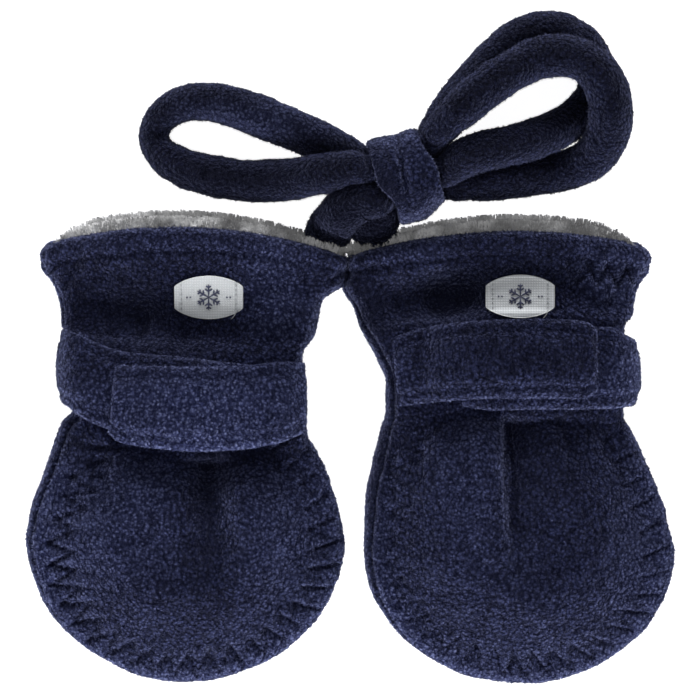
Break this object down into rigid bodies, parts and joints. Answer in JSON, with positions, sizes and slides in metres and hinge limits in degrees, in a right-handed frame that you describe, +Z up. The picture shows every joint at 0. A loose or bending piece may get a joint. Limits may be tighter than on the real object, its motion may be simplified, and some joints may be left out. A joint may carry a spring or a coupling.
{
  "type": "pair of baby mittens",
  "caption": "Thumbless baby mittens in fleece with a thick pile lining, hook-and-loop wrist straps and a joining cord tied in a bow, laid flat.",
  "frame": {"origin": "centre of the mittens' footprint without the cord, on the surface they lie on", "axes": "+X across the pair from the left mitten to the right one, +Y from the tips to the cuffs and the cord, +Z up from the surface"},
  "size_m": [0.1784, 0.1851, 0.0232],
  "materials": {
    "shell_fleece": "navy polar fleece, matt",
    "strap_fleece": "navy polar fleece, matt",
    "cord_fleece": "navy polar fleece sewn to a tube, matt",
    "lining_pile": "light grey long pile, matt",
    "woven_label": "light grey woven tape"
  },
  "bodies": {
    "root": {"left_front_shell": "shell_fleece", "left_back_shell": "shell_fleece", "left_front_lining": "lining_pile", "left_back_lining": "lining_pile", "left_strap_underlap": "strap_fleece", "left_strap_tab": "strap_fleece", "left_label": "woven_label", "right_front_shell": "shell_fleece", "right_back_shell": "shell_fleece", "right_front_lining": "lining_pile", "right_back_lining": "lining_pile", "right_strap_underlap": "strap_fleece", "right_strap_tab": "strap_fleece", "right_label": "woven_label", "cord_tail_left": "cord_fleece", "cord_tail_right": "cord_fleece", "cord_loop_left": "cord_fleece", "cord_loop_upper": "cord_fleece", "cord_loop_front": "cord_fleece", "cord_knot": "cord_fleece"}
  },
  "joints": []
}
